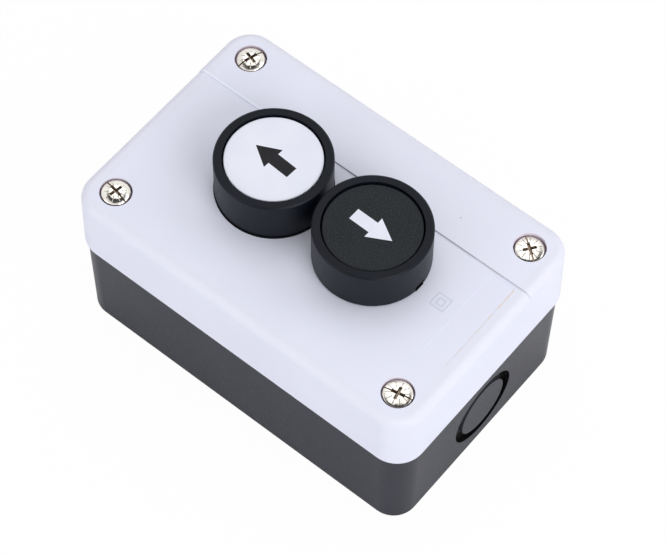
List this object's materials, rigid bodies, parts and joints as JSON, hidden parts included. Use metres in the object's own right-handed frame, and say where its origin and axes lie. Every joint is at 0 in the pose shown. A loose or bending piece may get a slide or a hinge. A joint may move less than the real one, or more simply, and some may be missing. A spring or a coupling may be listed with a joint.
{
  "type": "pushbutton station",
  "caption": "Surface-mounted control box with a light screwed cover on a dark base and a pair of flush push-buttons marked with up and down arrows, for doors, shutters or hoists.",
  "frame": {"origin": "centre of the back face of the base, where the box lies on the wall", "axes": "+Z out of the wall through the buttons, +Y along the box the way the upper arrow points, +X across the box to the right for someone facing it"},
  "size_m": [0.068, 0.1048, 0.0629],
  "materials": {
    "cover_plastic": "fine satin moulding",
    "base_plastic": "fine satin moulding",
    "black_plastic": "satin",
    "white_plastic": "satin gloss",
    "black_cap_plastic": "fine grain",
    "black_print": "second shot of plastic, flush",
    "white_print": "second shot of plastic, flush",
    "nut_plastic": "moulded",
    "plunger_plastic": "moulded",
    "block_plastic": "moulded",
    "lid_plastic": "moulded",
    "pusher_plastic": "moulded, green for a make contact",
    "rubber": "soft, black",
    "screw_steel": "bright nickel plate",
    "terminal_steel": "zinc plate",
    "spring_steel": "drawn wire",
    "contact_metal": "silvered copper alloy",
    "brass": "bright"
  },
  "bodies": {
    "station": {"rear_case": "base_plastic", "cover": "cover_plastic", "cover_gasket": "rubber", "cover_screws": "screw_steel", "screw_inserts": "brass", "upper_head_body": "black_plastic", "upper_head_gasket": "rubber", "upper_head_nut": "nut_plastic", "upper_stem_seal": "rubber", "upper_return_spring": "spring_steel", "upper_contact_housing": "block_plastic", "upper_contact_lid": "lid_plastic", "upper_fixed_contacts": "brass", "upper_terminal_clamps": "terminal_steel", "upper_terminal_screws": "terminal_steel", "upper_pusher_spring": "spring_steel", "lower_head_body": "black_plastic", "lower_head_gasket": "rubber", "lower_head_nut": "nut_plastic", "lower_stem_seal": "rubber", "lower_return_spring": "spring_steel", "lower_contact_housing": "block_plastic", "lower_contact_lid": "lid_plastic", "lower_fixed_contacts": "brass", "lower_terminal_clamps": "terminal_steel", "lower_terminal_screws": "terminal_steel", "lower_pusher_spring": "spring_steel"},
    "upper_button": {"upper_button_cap": "white_plastic", "upper_arrow": "black_print", "upper_plunger": "plunger_plastic"},
    "upper_pusher": {"upper_contact_pusher": "pusher_plastic", "upper_contact_spring": "spring_steel"},
    "upper_bridge": {"upper_contact_bridge": "contact_metal"},
    "lower_button": {"lower_button_cap": "black_cap_plastic", "lower_arrow": "white_print", "lower_plunger": "plunger_plastic"},
    "lower_pusher": {"lower_contact_pusher": "pusher_plastic", "lower_contact_spring": "spring_steel"},
    "lower_bridge": {"lower_contact_bridge": "contact_metal"}
  },
  "joints": [
    {"name": "upper_button_press", "type": "slide", "parent": "station", "child": "upper_button", "axis": [0, 0, -1], "range_m": [0, 0.0043], "stiffness_N_per_m": 500, "springref_m": -0.004, "deforming": ["upper_return_spring"]},
    {"name": "upper_pusher_slide", "type": "slide", "parent": "station", "child": "upper_pusher", "axis": [0, 0, -1], "range_m": [0, 0.0043], "deforming": ["upper_contact_spring", "upper_pusher_spring"]},
    {"name": "upper_bridge_slide", "type": "slide", "parent": "station", "child": "upper_bridge", "axis": [0, 0, -1], "range_m": [0, 0.0026]},
    {"name": "lower_button_press", "type": "slide", "parent": "station", "child": "lower_button", "axis": [0, 0, -1], "range_m": [0, 0.0043], "stiffness_N_per_m": 500, "springref_m": -0.004, "deforming": ["lower_return_spring"]},
    {"name": "lower_pusher_slide", "type": "slide", "parent": "station", "child": "lower_pusher", "axis": [0, 0, -1], "range_m": [0, 0.0043], "deforming": ["lower_contact_spring", "lower_pusher_spring"]},
    {"name": "lower_bridge_slide", "type": "slide", "parent": "station", "child": "lower_bridge", "axis": [0, 0, -1], "range_m": [0, 0.0026]}
  ],
  "couplings": [
    {"joint": "upper_pusher_slide", "follows": "upper_button_press", "ratio": 1},
    {"joint": "upper_bridge_slide", "follows": "upper_button_press", "ratio": 0.6},
    {"joint": "lower_pusher_slide", "follows": "lower_button_press", "ratio": 1},
    {"joint": "lower_bridge_slide", "follows": "lower_button_press", "ratio": 0.6}
  ]
}
